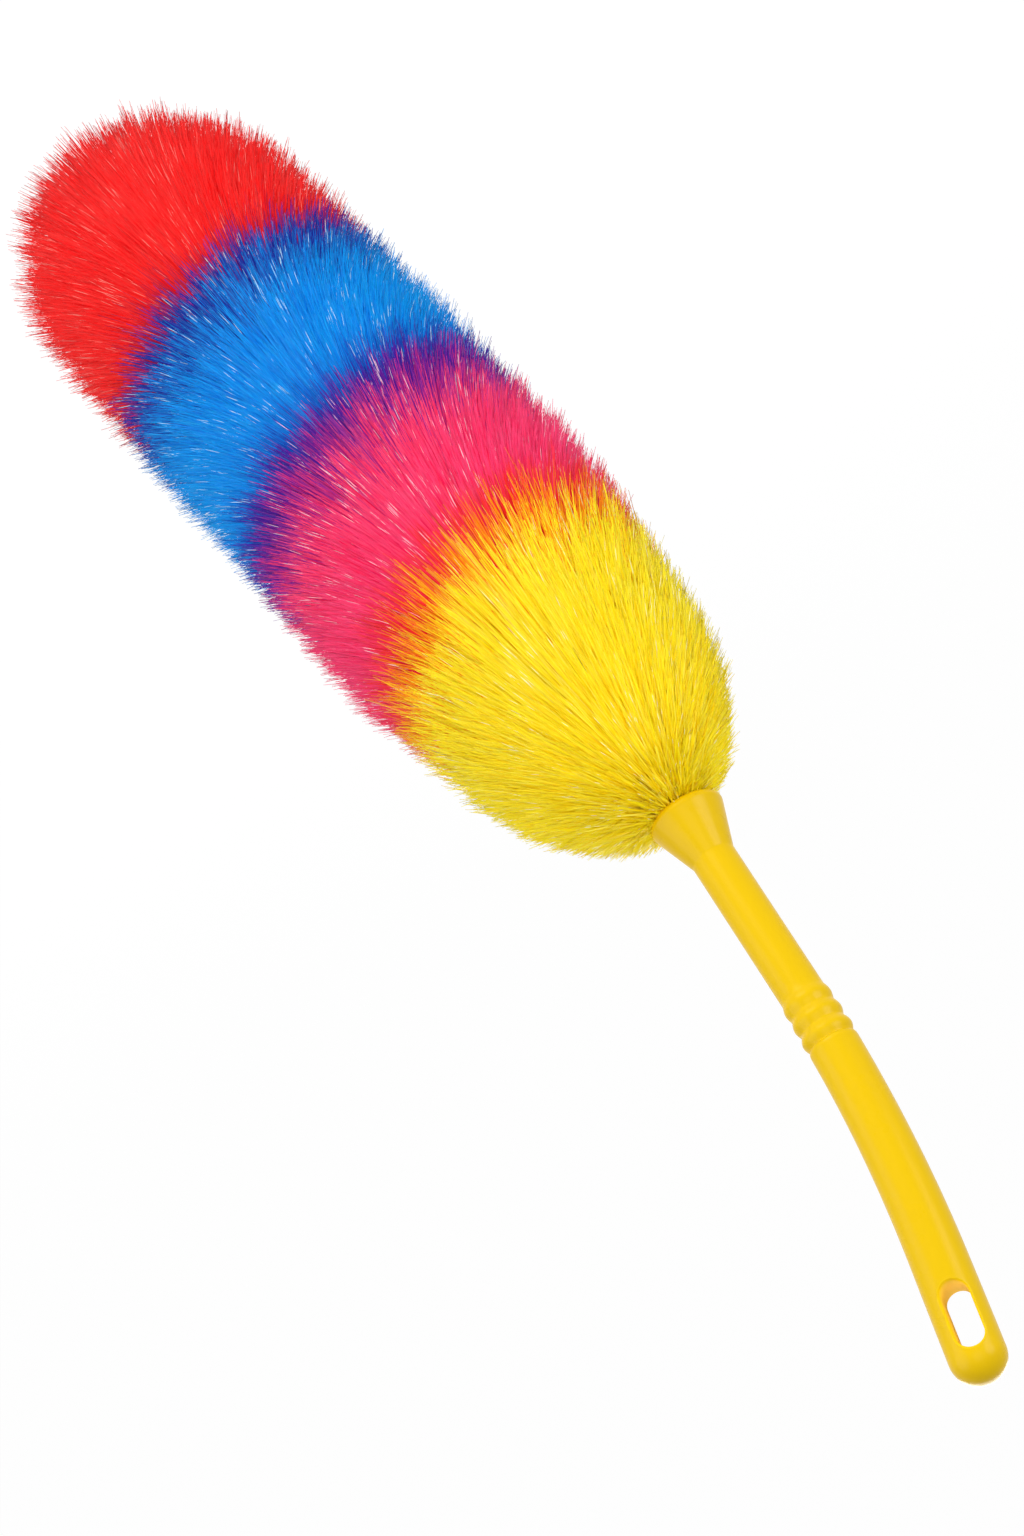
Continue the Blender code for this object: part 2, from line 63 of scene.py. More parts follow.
def handleLine(place):
    along, side = axesAt(-gripLean)
    start = side * slotOffset
    if place <= gripStraight:
        return start + along * place, along, side
    bendEnd = gripStraight + gripBendRadius * gripLean
    centre = start + along * gripStraight + side * gripBendRadius
    angle = (min(place, bendEnd) - gripStraight) / gripBendRadius - gripLean
    along, side = axesAt(angle)
    point = centre - side * gripBendRadius
    point.z -= max(place - bendEnd, 0.0)
    return point, along, side


def newMaterial(name):
    material = bpy.data.materials.new(name)
    material.use_nodes = True
    return material, material.node_tree, material.node_tree.nodes["Principled BSDF"]


def newPiece(name, mesh, node):
    piece = bpy.data.objects.new(name, mesh)
    scene.collection.objects.link(piece)
    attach(piece, "root")
    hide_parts(node)
    return piece


def ease(value):
    value = min(max(value, 0.0), 1.0)
    return value * value * (3 - 2 * value)


class Flow:
    # a socket of a node tree that can stand in a sum

    def __init__(self, tree, socket):
        self.tree = tree
        self.socket = socket

    def math(self, operation, *others):
        node = self.tree.nodes.new("ShaderNodeMath")
        node.operation = operation
        for index, value in enumerate((self, *others)):
            setInput(self.tree, node.inputs[index], value)
        return Flow(self.tree, node.outputs[0])

    def __add__(self, other):
        return self.math("ADD", other)

    def __sub__(self, other):
        return self.math("SUBTRACT", other)

    def __mul__(self, other):
        return self.math("MULTIPLY", other)

    def __truediv__(self, other):
        return self.math("DIVIDE", other)

    def __pow__(self, other):
        return self.math("POWER", other)

    __radd__ = __add__
    __rmul__ = __mul__

    def __rsub__(self, other):
        return self * -1.0 + other

    def floor(self):
        return self.math("FLOOR")

    def bounded(self, low, high):
        return self.math("MAXIMUM", low).math("MINIMUM", high)


def setInput(tree, socket, value):
    if isinstance(value, Flow):
        tree.links.new(value.socket, socket)
    else:
        socket.default_value = value


def addNode(tree, kind, settings=None, **inputs):
    # inputs are named as the node names them, with _ for a space
    node = tree.nodes.new(kind)
    for name, value in (settings or {}).items():
        setattr(node, name, value)
    for name, value in inputs.items():
        setInput(tree, node.inputs[name.replace("_", " ")], value)
    return node


# Handle: one moulding, turned round its bent centreline, with a slot right through

handleSettings = {
    "sides": 96,
    "gripStep": 1.1 * mm,
    "gripLength": 127.2 * mm,
    "endLength": 12.4 * mm,
    "endRadius": 10.8 * mm,
    "neckEndRadius": 10.0 * mm,
    "shoulder": 2.2 * mm,
    "ringCount": 3,
    "ringPitch": 7.3 * mm,
    "ringRadii": (10.4 * mm, 10.15 * mm, 9.9 * mm),
    "grooveRadius": 9.15 * mm,
    "crestPower": 1.3,  # above 1 the crests are narrower than the grooves
    "neckRadius": 9.05 * mm,
    "neckLength": 67.7 * mm,
    "cupLength": 23.5 * mm,
    "cupCrease": 0.4 * mm,  # half the small fillet where the cone meets the neck
    "lipRadius": 15.75 * mm,
    "lipRounding": 3.0 * mm,
    "lipWall": 3.75 * mm,
    "mouthRounding": 0.9 * mm,
    "neckWall": 2.35 * mm,
    "boreEnd": 31.0 * mm,
    "slotLength": 24.5 * mm,
    "slotWidth": 10.6 * mm,
    "rimWidth": 0.9 * mm,
    "rimDepth": 2.4 * mm,
    "rimSteps": 8,
    "wallSteps": 10,
    "patchStart": -5.2 * mm,  # the patches of each face that are made anew round the slot
    "patchEnd": 31.5 * mm,
    "patchHalfColumns": 16,
    "patchSteps": 7,
    "patchNarrowing": 0.93,
    "steps": {"end": 22, "shoulder": 6, "ring": 22, "neck": 25, "cup": 12, "lip": 18,
              "mouth": 5, "cone": 6, "bore": 20, "boreEnd": 8},
    "colour": (0.73, 0.47, 0.001),
    "wallBounceColour": (0.92, 0.62, 0.0),  # painted bounce light: a brighter yellow inside the slot, where light bounces from wall to wall
    "wallEdge": 1.1 * mm,
    "wallFade": 0.9 * mm,
    "wallRoughness": 0.8,
    "roughness": (0.24, 0.32),
    "refraction": 1.49,
    "gloss": 0.13,
    "grainScale": 900,
    "mottleScale": 45,
    "grainStrength": 0.015,
    "grainDepth": 0.2 * mm,
}


def arcPoints(place, radius, size, start, end, steps):
    # 0 degrees points out from the centreline, 90 degrees towards the head
    angles = [math.radians(start + (end - start) * step / steps) for step in range(steps + 1)]
    return [(place + size * math.sin(angle), radius + size * math.cos(angle)) for angle in angles]


def gripRadius(place):
    # the round end, then a slow taper
    s = handleSettings
    centre = s["endRadius"] - s["endLength"]
    if place < centre:
        return math.sqrt(max(s["endRadius"] ** 2 - (centre - place) ** 2, 0.0))
    share = (place - centre) / (s["gripLength"] - s["shoulder"] - centre)
    return s["endRadius"] + (s["neckEndRadius"] - s["endRadius"]) * ease(share)


def outerProfile():
    # places and radii from the grip's round end to the cup's lip, and back inside down the bore
    s = handleSettings
    steps = s["steps"]
    centre = s["endRadius"] - s["endLength"]
    points = arcPoints(centre, 0, s["endRadius"], -90, 0, steps["end"])
    shoulder = s["gripLength"] - s["shoulder"]
    count = round((shoulder - centre) / s["gripStep"])
    for step in range(1, count + 1):
        place = centre + (shoulder - centre) * step / count
        points.append((place, gripRadius(place)))
    drop = s["neckEndRadius"] - s["grooveRadius"]
    for step in range(1, steps["shoulder"]):
        angle = math.pi / 2 * step / steps["shoulder"]
        points.append((shoulder + s["shoulder"] * math.sin(angle),
                       s["grooveRadius"] + drop * math.cos(angle)))
    for ring, crest in enumerate(s["ringRadii"]):
        last = ring == s["ringCount"] - 1
        nextRadius = s["neckRadius"] if last else s["grooveRadius"]
        for step in range(0 if ring == 0 else 1, steps["ring"] + 1):
            share = step / steps["ring"]
            foot = s["grooveRadius"] + (nextRadius - s["grooveRadius"]) * share
            swell = max(math.sin(math.pi * share), 0.0) ** s["crestPower"]
            points.append((s["gripLength"] + (ring + share) * s["ringPitch"],
                           foot + (crest - foot) * swell))
    ringsEnd = s["gripLength"] + s["ringCount"] * s["ringPitch"]
    cupStart = ringsEnd + s["neckLength"]
    for step in range(1, steps["neck"]):
        points.append((ringsEnd + (cupStart - ringsEnd) * step / steps["neck"], s["neckRadius"]))
    lipPlace = cupStart + s["cupLength"]
    rounding = s["lipRounding"]
    rise = s["lipRadius"] - rounding - s["neckRadius"]
    run = lipPlace - rounding - cupStart
    slope = math.atan2(rise, run) + math.asin(rounding / math.hypot(rise, run))
    lip = arcPoints(lipPlace - rounding, s["lipRadius"] - rounding, rounding,
                    -math.degrees(slope), 90, steps["lip"])
    for step in (-1, 0, 1):
        place = cupStart + s["cupCrease"] * step
        share = max(place - cupStart, 0) / (lip[0][0] - cupStart)
        points.append((place, s["neckRadius"] + (lip[0][1] - s["neckRadius"]) * share))
    for step in range(1, steps["cup"]):
        share = step / steps["cup"]
        points.append((cupStart + (lip[0][0] - cupStart) * share,
                       s["neckRadius"] + (lip[0][1] - s["neckRadius"]) * share))
    points += lip
    mouth = s["lipRadius"] - s["lipWall"] + s["mouthRounding"]
    points += arcPoints(lipPlace - s["mouthRounding"], mouth, s["mouthRounding"], 90, 180,
                        steps["mouth"])[1:]
    bore = s["neckRadius"] - s["neckWall"]
    for step in range(1, steps["cone"] + 1):
        share = step / steps["cone"]
        points.append((lipPlace - s["mouthRounding"] - (s["cupLength"] - s["mouthRounding"]) * share,
                       mouth - s["mouthRounding"] + (bore - mouth + s["mouthRounding"]) * share))
    endCentre = s["boreEnd"] + bore
    for step in range(1, steps["bore"] + 1):
        points.append((cupStart + (endCentre - cupStart) * step / steps["bore"], bore))
    points += arcPoints(endCentre, 0, bore, 0, -90, steps["boreEnd"])[1:]
    return points


def slotPoint(place, across):
    # nearest point of the slot's middle line, and the direction away from it
    s = handleSettings
    half = s["slotWidth"] / 2
    middle = min(max(place, half), s["slotLength"] - half)
    away = Vector((place - middle, across + slotOffset))
    return middle, away.normalized()


def cutSlot(bm, rings, places):
    # Opens both faces of the grip and joins the openings by the slot's rim and wall. Loops
    # of faces run from the edge of each opening to the rim, and lie on the grip's surface.
    s = handleSettings
    sides = s["sides"]
    first = next(i for i, place in enumerate(places) if place > s["patchStart"])
    last = next(i for i, place in enumerate(places) if place > s["patchEnd"])
    half = s["patchHalfColumns"]
    point, along, side = handleLine(0)
    across = Vector((0, 1, 0))
    ends = []
    for sign, centre in ((1, sides // 4), (-1, 3 * sides // 4)):
        columns = [(centre + sign * step) % sides for step in range(-half, half + 1)]
        border = [(row, columns[0]) for row in range(first, last)]
        border += [(last, column) for column in columns[:-1]]
        border += [(row, columns[-1]) for row in range(last, first, -1)]
        border += [(first, column) for column in columns[:0:-1]]
        inside = {rings[row][column] for row in range(first, last + 1) for column in columns}
        doomed = [face for face in bm.faces if all(vert in inside for vert in face.verts)]
        bmesh.ops.delete(bm, geom=doomed, context="FACES_ONLY")
        loops = [[rings[row][column] for row, column in border]]
        starts = []
        for row, column in border:
            offset = (column - centre) % sides
            offset = offset - sides if offset > sides // 2 else offset
            starts.append((places[row], -sign * 2 * math.pi * offset / sides))
        for step in range(1, s["patchSteps"] + s["rimSteps"] + 1):
            loop = []
            for place, turn in starts:
                middle, away = slotPoint(place, gripRadius(place) * turn * s["patchNarrowing"])
                if step <= s["patchSteps"]:
                    widening, depth = s["rimWidth"], 0.0
                else:
                    angle = math.pi / 2 * (step - s["patchSteps"]) / s["rimSteps"]
                    widening = s["rimWidth"] * (1 - math.sin(angle))
                    depth = s["rimDepth"] * (1 - math.cos(angle))
                reach = s["slotWidth"] / 2 + widening
                target = Vector((middle, -slotOffset)) + away * reach
                radius = gripRadius(target.x)
                if step <= s["patchSteps"]:
                    share = ease(step / s["patchSteps"]) * 0.5 + 0.5 * step / s["patchSteps"]
                    targetTurn = math.asin(target.y / radius)
                    place = place + (target.x - place) * share
                    turn = turn + (targetTurn - turn) * share
                    radius = gripRadius(place)
                    spot = Vector((place, radius * math.sin(turn)))
                    height = radius * math.cos(turn)
                else:
                    spot = target
                    height = math.sqrt(radius ** 2 - target.y ** 2) - depth
                loop.append(bm.verts.new(point + along * spot.x + side * spot.y + across * sign * height))
            loops.append(loop)
        for outer, inner in zip(loops, loops[1:]):
            joinLoops(bm, outer, inner)
        ends.append(loops[-1])
    wall = [ends[0]]
    for step in range(1, s["wallSteps"]):
        share = step / s["wallSteps"]
        wall.append([bm.verts.new(a.co.lerp(b.co, share)) for a, b in zip(*ends)])
    wall.append(ends[1])
    for outer, inner in zip(wall, wall[1:]):
        joinLoops(bm, outer, inner)


def joinLoops(bm, loop, other):
    count = len(loop)
    for index in range(count):
        after = (index + 1) % count
        bm.faces.new((loop[index], loop[after], other[after], other[index]))


def buildHandle():
    s = handleSettings
    bm = bmesh.new()
    profile = outerProfile()
    rings = []
    turns = [2 * math.pi * index / s["sides"] for index in range(s["sides"])]
    for place, radius in profile[1:-1]:
        point, along, side = handleLine(place)
        spokes = [side * math.cos(turn) + Vector((0, math.sin(turn), 0)) for turn in turns]
        rings.append([bm.verts.new(point + spoke * radius) for spoke in spokes])
    for ring, other in zip(rings, rings[1:]):
        joinLoops(bm, ring, other)
    for ring, (place, _) in ((rings[0], profile[0]), (rings[-1], profile[-1])):
        pole = bm.verts.new(handleLine(place)[0])
        for index in range(s["sides"]):
            bm.faces.new((ring[index], ring[(index + 1) % s["sides"]], pole))
    cutSlot(bm, rings, [place for place, _ in profile[1:-1]])
    bmesh.ops.recalc_face_normals(bm, faces=bm.faces)
    mesh = bpy.data.meshes.new("handle_moulding")
    bm.to_mesh(mesh)
    bm.free()
    mesh.shade_smooth()
    return mesh


def handlePlastic():
    s = handleSettings
    material, tree, shader = newMaterial("handlePlastic")
    shader.inputs["IOR"].default_value = s["refraction"]
    shader.inputs["Specular IOR Level"].default_value = s["gloss"]
    place = tree.nodes.new("ShaderNodeTexCoord")
    grain = addNode(tree, "ShaderNodeTexNoise", Scale=s["grainScale"], Detail=2)
    mottle = addNode(tree, "ShaderNodeTexNoise", Scale=s["mottleScale"], Detail=4)
    tree.links.new(place.outputs["Object"], grain.inputs["Vector"])
    tree.links.new(place.outputs["Object"], mottle.inputs["Vector"])
    shine = addNode(tree, "ShaderNodeMapRange", To_Min=s["roughness"][0], To_Max=s["roughness"][1])
    tree.links.new(mottle.outputs["Fac"], shine.inputs["Value"])
    along, side = axesAt(-gripLean)
    parts = []
    for direction in (along, side):
        part = addNode(tree, "ShaderNodeVectorMath", {"operation": "DOT_PRODUCT"})
        tree.links.new(place.outputs["Object"], part.inputs[0])
        part.inputs[1].default_value = direction
        parts.append(Flow(tree, part.outputs["Value"]))
    half = s["slotWidth"] / 2
    beyond = (parts[0] - parts[0].bounded(half, s["slotLength"] - half)) ** 2.0
    reach = (beyond + parts[1] * parts[1]) ** 0.5
    wall = (((half + s["wallEdge"]) - reach) / s["wallFade"]).bounded(0.0, 1.0)  # 1 inside the slot
    rough = Flow(tree, shine.outputs["Result"])
    tree.links.new((rough + (s["wallRoughness"] - rough) * wall).socket, shader.inputs["Roughness"])
    # inside the slot the colour turns to a brighter yellow: painted bounce light
    colour = addNode(tree, "ShaderNodeMix", {"data_type": "RGBA"})
    setInput(tree, colour.inputs[0], wall)
    colour.inputs[6].default_value = (*s["colour"], 1)
    colour.inputs[7].default_value = (*s["wallBounceColour"], 1)
    tree.links.new(colour.outputs[2], shader.inputs["Base Color"])
    bump = addNode(tree, "ShaderNodeBump", Strength=s["grainStrength"], Distance=s["grainDepth"])
    tree.links.new(grain.outputs["Fac"], bump.inputs["Height"])
    tree.links.new(bump.outputs["Normal"], shader.inputs["Normal"])
    return material


handleMesh = buildHandle()
handleMesh.materials.append(handlePlastic())
newPiece("handle_moulding", handleMesh, "handle")
print("handle:", len(handleMesh.polygons), "faces")


# Head: strands from the wires out to the head's outline, made by one node tree

headSettings = {
    "strands": (14200, 9900),  # in each coat, and in the yellow long one, which bends round the cup
    "strandPoints": (3, 4),
    "length": 446 * mm,
    "radius": 70 * mm,
    "domeLength": 86 * mm,
    "domePower": 1.25,  # above 1 the dome is slimmer than an ellipse
    "domeSteps": 10,
    "fullBeforeDome": 40 * mm,  # where the head first has its full radius
    "sweep": 60 * mm,  # from a strand's root to its tip, along the head
    "rootEnd": 368 * mm,
    "rootRadius": 3.0 * mm,
    "seamSpread": 3.0 * mm,
    "tuftReach": 8.0 * mm,
    "curl": 3.0 * mm,
    "curlPower": 1.6,
    "taper": (0.62, 1.1, 1.48),  # widest at mid length, thin at the tip
    "bend": (12.0, 8.5),  # the head's own slight curve, in mm: cubic, less linear
    "collarShare": 0.4,  # of the yellow strands, which start inside the cup's mouth
    "collarRoots": (-3.0 * mm, 8.0 * mm),
    "tintShares": (0.6, 0.25, 0.15),  # how much of a tint is the strand's, its tuft's, its patch's
    "tintContrast": 1.15,
    "patchTufts": 3.0,
    "ranges": {"tuftTurn": (0.2, 0.8), "tuftTip": (0.1, 0.9), "tuftReach": (-0.4, 0.6),
               "pull": (0.35, 1.0), "tuftPull": (0.6, 1.0), "length": (-0.65, 0.35),
               "curlOut": (-0.5, 0.5), "waver": (-0.3, 0.3), "width": (0.75, 1.2)},
    "baseOutline": ((0, 14), (5, 24), (10, 31), (15, 36), (20, 40), (30, 47.5), (40, 53), (50, 56.5),
                    (60, 59.5), (80, 62.5), (100, 65), (120, 68), (140, 71)),
    "baseRoots": ((0, 3), (10, 6), (20, 10), (40, 17), (60, 26), (80, 37), (100, 50), (120, 64), (140, 80)),
}

# how a strand's map holds its band of tint, its place along and how far it is mixed
strandMap = {"bands": 8.0, "margin": 0.1, "mixShare": 0.94, "cornerShare": 0.05, "edge": 0.005}


def headCurves():
    # the outline that the tips reach and the places of the roots, both against the tips' place
    s = headSettings
    outline = [(place * mm, radius * mm) for place, radius in s["baseOutline"]]
    roots = [(place * mm, root * mm) for place, root in s["baseRoots"]]
    domeStart = s["length"] - s["domeLength"]
    outline += [(domeStart - s["fullBeforeDome"], s["radius"])]
    for step in range(s["domeSteps"] + 1):
        angle = math.pi / 2 * (1 - step / s["domeSteps"])
        place = domeStart + s["domeLength"] * math.cos(angle)
        outline.append((place, s["radius"] * math.sin(angle) ** s["domePower"]))
        root = domeStart - s["sweep"] + (s["rootEnd"] - domeStart + s["sweep"]) * step / s["domeSteps"]
        roots.append((place, root))
    return ([(place / s["length"], radius / s["radius"]) for place, radius in outline],
            [(place / s["length"], root / s["length"]) for place, root in roots])


def bristleTree():
    tree = bpy.data.node_groups.new("bristles", "GeometryNodeTree")
    tree.interface.new_socket("Geometry", in_out="OUTPUT", socket_type="NodeSocketGeometry")
    sizes = {}
    groupInput = tree.nodes.new("NodeGroupInput")
    for name, kind, value in (
            ("Strands", "Int", 1000), ("Seed", "Int", 0), ("Points Per Strand", "Int", 3),
            ("Tip Start", "Float", 0.0), ("Tip End", "Float", 0.1), ("Seam Spread", "Float", 0.003),
            ("Start Lean", "Vector", (0, 0, 0)), ("End Lean", "Vector", (0, 0, 0)),
            ("Through Length", "Float", 0.02), ("Under Length", "Float", 0.012),
            ("Head Length", "Float", 0.446), ("Head Radius", "Float", 0.07), ("Root Radius", "Float", 0.003),
            ("Root Spread", "Float", 0.006), ("Turn Spread", "Float", 0.05), ("Collar Share", "Float", 0.0),
            ("Strand Width", "Float", 0.0006), ("Length Share", "Float", 1.0),
            ("Length Spread", "Float", 0.1), ("Tuft Size", "Float", 0.008), ("Tuft Pull", "Float", 0.5),
            ("Tuft Spread", "Float", 0.03), ("Tuft Reach", "Float", 0.008), ("Bow Low", "Float", -0.03),
            ("Bow High", "Float", 0.04), ("Curl", "Float", 0.003), ("Material", "Material", None)):
        socket = tree.interface.new_socket(name, in_out="INPUT", socket_type="NodeSocket" + kind)
        if value is not None:
            socket.default_value = value
        sizes[name] = socket.identifier
    given = {name: Flow(tree, groupInput.outputs[name]) for name in sizes}

    # which strand a point is on, and its share of the way from root to tip
    index = Flow(tree, addNode(tree, "GeometryNodeInputIndex").outputs[0])
    perStrand = given["Points Per Strand"]
    strand = (index / perStrand).floor()
    share = (index - strand * perStrand) / (perStrand - 1.0)

    def chance(number, low, high, key=strand):
        node = addNode(tree, "FunctionNodeRandomValue", {"data_type": "FLOAT"})
        setInput(tree, node.inputs[2], low)
        setInput(tree, node.inputs[3], high)
        setInput(tree, node.inputs["ID"], key)
        setInput(tree, node.inputs["Seed"], given["Seed"] + float(number))
        return Flow(tree, node.outputs[1])

    def shaped(points, value):
        node = addNode(tree, "ShaderNodeFloatCurve", Value=value)
        curve = node.mapping.curves[0]
        while len(curve.points) < len(points):
            curve.points.new(0.5, 0.5)
        for spot, (x, y) in zip(curve.points, points):
            spot.location = (x, y)
        for spot in curve.points[-3:]:
            spot.handle_type = "VECTOR"
        node.mapping.update()
        return Flow(tree, node.outputs[0])

    outline, roots = headCurves()
    ranges = headSettings["ranges"]
    length = given["Head Length"]
    spread = given["Seam Spread"]
    turn = chance(3, 0.0, 2 * math.pi)
    facing = addNode(tree, "ShaderNodeCombineXYZ", X=turn.math("COSINE"), Y=turn.math("SINE"))

    def seam(name):
        lean = addNode(tree, "ShaderNodeVectorMath", {"operation": "DOT_PRODUCT"})
        tree.links.new(facing.outputs[0], lean.inputs[0])
        tree.links.new(given[name + " Lean"].socket, lean.inputs[1])
        return given["Tip " + name] + Flow(tree, lean.outputs["Value"])

    tipStart = seam("Start")
    tipEnd = seam("End")
    tip = tipStart + (tipEnd - tipStart) * chance(1, 0.0, 1.0) + spread * chance(2, -1.0, 1.0)
    tip = tip.bounded(0.001, length)

    # each strand's tip is drawn towards the middle of its tuft
    tuft = given["Tuft Size"]
    row = (tip / tuft).floor()
    rowRadius = shaped(outline, ((row + 0.5) * tuft / length).bounded(0.0, 1.0)) * given["Head Radius"]
    around = (rowRadius * 2 * math.pi / tuft).floor().math("MAXIMUM", 5.0)
    shift = chance(4, 0.0, 1.0, row)
    column = (turn / (2 * math.pi) * around + shift).floor()
    cell = row * 211.0 + column  # a number for each tuft, to draw its chances by
    tuftTurn = (column - shift + chance(5, *ranges["tuftTurn"], cell)) / around * 2 * math.pi
    tuftTip = (row + chance(6, *ranges["tuftTip"], cell)) * tuft
    pull = given["Tuft Pull"] * chance(7, *ranges["pull"]) * chance(8, *ranges["tuftPull"], cell)
    gathered = pull * share ** 2.0
    turn = turn + given["Turn Spread"] * chance(24, -1.0, 1.0) * (1.0 - share)
    beyond = given["Tuft Reach"] * chance(23, *ranges["tuftReach"], cell)
    tip = tip + (tuftTip - tip) * pull + beyond * pull
    tip = tip.bounded(0.001, length)
    turn = turn + (tuftTurn - turn) * gathered

    # the strand runs from its root to its tip, with some bow and a curled end
    place = (tip / length).bounded(0.0, 1.0)
    tipRadius = shaped(outline, place) * given["Head Radius"]
    root = shaped(roots, place) * length + given["Root Spread"] * chance(9, -1.0, 1.0)
    collared = chance(10, 0.0, 1.0).math("LESS_THAN", given["Collar Share"])
    root = root + (chance(11, *headSettings["collarRoots"]) - root) * collared
    scale = given["Length Share"] + given["Length Spread"] * chance(12, *ranges["length"])
    scale = scale + given["Tuft Spread"] * chance(13, -1.0, 1.0, cell)
    bow = chance(14, given["Bow Low"], given["Bow High"])
    reachAlong = (tip - root) * scale
    reachOut = (tipRadius - given["Root Radius"]) * scale
    arch = share * (1.0 - share) * bow * 4.0
    away = root + reachAlong * share - reachOut * arch
    radius = given["Root Radius"] + reachOut * share + reachAlong * arch
    bend = share ** headSettings["curlPower"] * given["Curl"]
    away = away + bend * chance(15, -1.0, 1.0)
    radius = radius + bend * chance(16, *ranges["curlOut"])
    sideways = bend * chance(17, -1.0, 1.0)
    along = away / length
    cubic, linear = headSettings["bend"]
    bent = (along ** 3.0 * cubic - along * linear) * mm
    outAcross = radius * turn.math("COSINE") - sideways * turn.math("SINE") + bent
    outSide = radius * turn.math("SINE") + sideways * turn.math("COSINE")
    local = addNode(tree, "ShaderNodeCombineXYZ", X=outAcross, Y=outSide, Z=away)

    count = given["Strands"] * perStrand
    points = addNode(tree, "GeometryNodePoints", Count=count)
    tree.links.new(local.outputs[0], points.inputs["Position"])
    geometry = points.outputs[0]

    def store(name, kind, domain, value, source):
        node = addNode(tree, "GeometryNodeStoreNamedAttribute", {"data_type": kind, "domain": domain})
        tree.links.new(source, node.inputs["Geometry"])
        node.inputs["Name"].default_value = name
        setInput(tree, node.inputs["Value"], value)
        return node.outputs[0]

    # how far the next section's colour is painted into it as light through its strands, or the last one's as
    # shade under its tips, its tint and its width
    waver = chance(18, *ranges["waver"]) + chance(26, *ranges["waver"], cell)
    ahead = ((tip - tipEnd) / given["Through Length"] + 1.0 + waver).bounded(0.0, 1.0)
    behind = ((tipStart - tip) / given["Under Length"] + 1.0 + waver).bounded(0.0, 1.0)
    through = (ahead - behind) * 0.5 + 0.5
    patchTufts = headSettings["patchTufts"]
    patch = (row / patchTufts).floor() * 97.0 + (column / patchTufts).floor()
    ownShare, tuftShare, patchShare = headSettings["tintShares"]
    tint = chance(19, 0.0, 1.0) * ownShare + chance(20, 0.0, 1.0, cell) * tuftShare
    tint = tint + chance(25, 0.0, 1.0, patch) * patchShare
    bandCount = strandMap["bands"]
    contrasted = (tint - 0.5) * headSettings["tintContrast"] + 0.5
    shade = (contrasted * bandCount).floor().bounded(0.0, bandCount - 1.0)
    width = given["Strand Width"] * chance(21, *ranges["width"]) / 2.0
    base, rise, fall = headSettings["taper"]
    taper = base + share * rise - share ** 3.0 * fall
    geometry = store("share", "FLOAT", "POINT", share, geometry)
    geometry = store("through", "FLOAT", "POINT", through, geometry)
    geometry = store("shade", "FLOAT", "POINT", shade, geometry)
    geometry = store("thickness", "FLOAT", "POINT", width * taper, geometry)
    geometry = store("strandTurn", "FLOAT", "POINT", chance(22, 0.0, 2 * math.pi), geometry)

    def named(name):
        node = addNode(tree, "GeometryNodeInputNamedAttribute", {"data_type": "FLOAT"})
        node.inputs["Name"].default_value = name
        return Flow(tree, node.outputs["Attribute"])

    curves = tree.nodes.new("GeometryNodePointsToCurves")
    tree.links.new(geometry, curves.inputs[0])
    setInput(tree, curves.inputs["Curve Group ID"], strand)
    setInput(tree, curves.inputs["Weight"], share)
    tilted = addNode(tree, "GeometryNodeSetCurveTilt", Tilt=named("strandTurn"))
    tree.links.new(curves.outputs[0], tilted.inputs["Curve"])
    profile = tree.nodes.new("GeometryNodeCurvePrimitiveCircle")
    profile.inputs["Resolution"].default_value = 3
    profile.inputs["Radius"].default_value = 1.0
    cornerIndex = Flow(tree, addNode(tree, "GeometryNodeInputIndex").outputs[0]) / 3.0
    profileOut = store("corner", "FLOAT", "POINT", cornerIndex, profile.outputs["Curve"])
    tube = tree.nodes.new("GeometryNodeCurveToMesh")
    tree.links.new(tilted.outputs[0], tube.inputs["Curve"])
    tree.links.new(profileOut, tube.inputs["Profile Curve"])
    setInput(tree, tube.inputs["Scale"], named("thickness"))
    tube.inputs["Fill Caps"].default_value = True
    acrossMap = named("through") * strandMap["mixShare"] + named("corner") * strandMap["cornerShare"]
    acrossMap = acrossMap + strandMap["edge"]
    bandLength = 1.0 - 2.0 * strandMap["margin"]
    alongMap = (named("shade") + strandMap["margin"] + named("share") * bandLength) / bandCount
    mapPoint = addNode(tree, "ShaderNodeCombineXYZ", X=acrossMap, Y=alongMap)
    mapped = store("OFBake", "FLOAT2", "CORNER", Flow(tree, mapPoint.outputs[0]), tube.outputs[0])
    for name in ("share", "through", "shade", "thickness", "strandTurn", "corner"):
        removed = tree.nodes.new("GeometryNodeRemoveAttribute")
        tree.links.new(mapped, removed.inputs["Geometry"])
        removed.inputs["Name"].default_value = name
        mapped = removed.outputs[0]
    realized = tree.nodes.new("GeometryNodeRealizeInstances")
    tree.links.new(mapped, realized.inputs[0])
    smooth = tree.nodes.new("GeometryNodeSetShadeSmooth")
    tree.links.new(realized.outputs[0], smooth.inputs[0])
    finished = tree.nodes.new("GeometryNodeSetMaterial")
    tree.links.new(smooth.outputs[0], finished.inputs["Geometry"])
    setInput(tree, finished.inputs["Material"], given["Material"])
    groupOutput = tree.nodes.new("NodeGroupOutput")
    tree.links.new(finished.outputs[0], groupOutput.inputs[0])
    return tree, sizes


